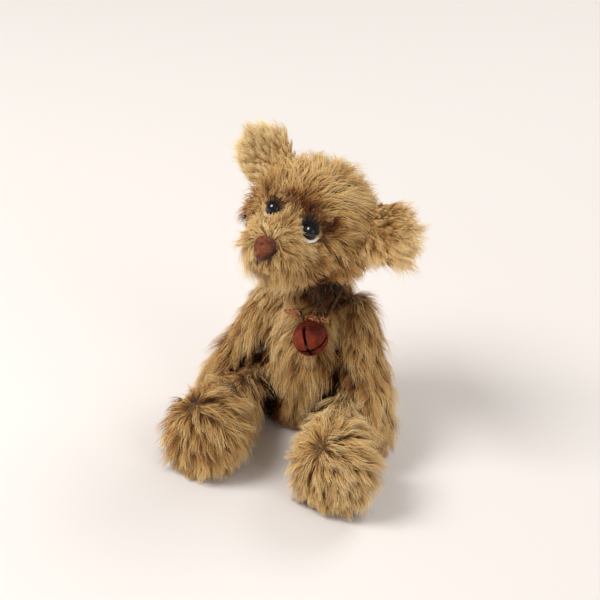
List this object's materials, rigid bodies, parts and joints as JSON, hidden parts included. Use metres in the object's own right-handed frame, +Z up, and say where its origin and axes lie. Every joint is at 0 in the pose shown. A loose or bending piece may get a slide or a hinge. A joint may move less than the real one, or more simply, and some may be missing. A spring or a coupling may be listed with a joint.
{
  "type": "jointed mohair teddy bear",
  "caption": "Small sitting mohair teddy bear with a turned head, disc-jointed neck, shoulders and hips, glass eyes on felt, a stitched nose and a rusty jingle bell on a cord round its neck",
  "frame": {"origin": "on the flat seat the bear sits on, below the middle of the torso", "axes": "+Z up out of the seat, -Y the way the torso faces, +X the bear's own left"},
  "size_m": [0.1044, 0.1098, 0.1467],
  "materials": {
    "mohair": "long tan mohair pile, brown near the backing, worn and dusty",
    "white_felt": "white wool felt",
    "black_glass": "polished black glass",
    "nose_thread": "rust brown satin stitches",
    "mouth_thread": "dark brown embroidery thread",
    "rusty_tin": "sheet iron with a red-brown rust all over",
    "cord": "thin twisted pinkish brown cord, frayed",
    "hardboard": "pressed brown hardboard",
    "steel": "plain steel wire and washers"
  },
  "bodies": {
    "torso": {"torso": "mohair", "bell_upper": "rusty_tin", "bell_lower": "rusty_tin", "bell_loop": "steel", "bell_pellet": "steel", "neck_cord": "cord", "neck_disc_torso": "hardboard", "neck_washer_torso": "steel", "neck_pin": "steel", "shoulder_right_disc_torso": "hardboard", "shoulder_right_washer_torso": "steel", "shoulder_right_pin": "steel", "hip_right_disc_torso": "hardboard", "hip_right_washer_torso": "steel", "hip_right_pin": "steel", "shoulder_left_disc_torso": "hardboard", "shoulder_left_washer_torso": "steel", "shoulder_left_pin": "steel", "hip_left_disc_torso": "hardboard", "hip_left_washer_torso": "steel", "hip_left_pin": "steel"},
    "head": {"head": "mohair", "ear_right": "mohair", "ear_left": "mohair", "eye_right": "black_glass", "eye_left": "black_glass", "eye_felt_right": "white_felt", "eye_felt_left": "white_felt", "nose": "nose_thread", "mouth_stitch": "mouth_thread", "neck_disc_head": "hardboard", "neck_washer_head": "steel"},
    "arm_right": {"arm_right": "mohair", "shoulder_right_disc_arm": "hardboard", "shoulder_right_washer_arm": "steel"},
    "arm_left": {"arm_left": "mohair", "shoulder_left_disc_arm": "hardboard", "shoulder_left_washer_arm": "steel"},
    "leg_right": {"leg_right": "mohair", "hip_right_disc_leg": "hardboard", "hip_right_washer_leg": "steel"},
    "leg_left": {"leg_left": "mohair", "hip_left_disc_leg": "hardboard", "hip_left_washer_leg": "steel"}
  },
  "joints": [
    {"name": "neck_turn", "type": "hinge", "parent": "torso", "child": "head", "pos_m": [-0.00784, 0, 0.08966], "axis": [-0.1392, 0, 0.9903], "range_deg": [-60, 60]},
    {"name": "shoulder_right", "type": "hinge", "parent": "torso", "child": "arm_right", "pos_m": [-0.02156, 0, 0.05935], "axis": [-0.9816, 0, 0.1908], "range_deg": [-100, 18]},
    {"name": "shoulder_left", "type": "hinge", "parent": "torso", "child": "arm_left", "pos_m": [0.01093, 0, 0.06219], "axis": [-0.9336, 0, -0.3584], "range_deg": [-110, 8]},
    {"name": "hip_right", "type": "hinge", "parent": "torso", "child": "leg_right", "pos_m": [-0.01925, 0, 0.01588], "axis": [0.9962, 0, 0.0872], "range_deg": [-12, 90]},
    {"name": "hip_left", "type": "hinge", "parent": "torso", "child": "leg_left", "pos_m": [0.0162, 0, 0.01898], "axis": [0.9962, 0, 0.0872], "range_deg": [-4, 90]}
  ]
}
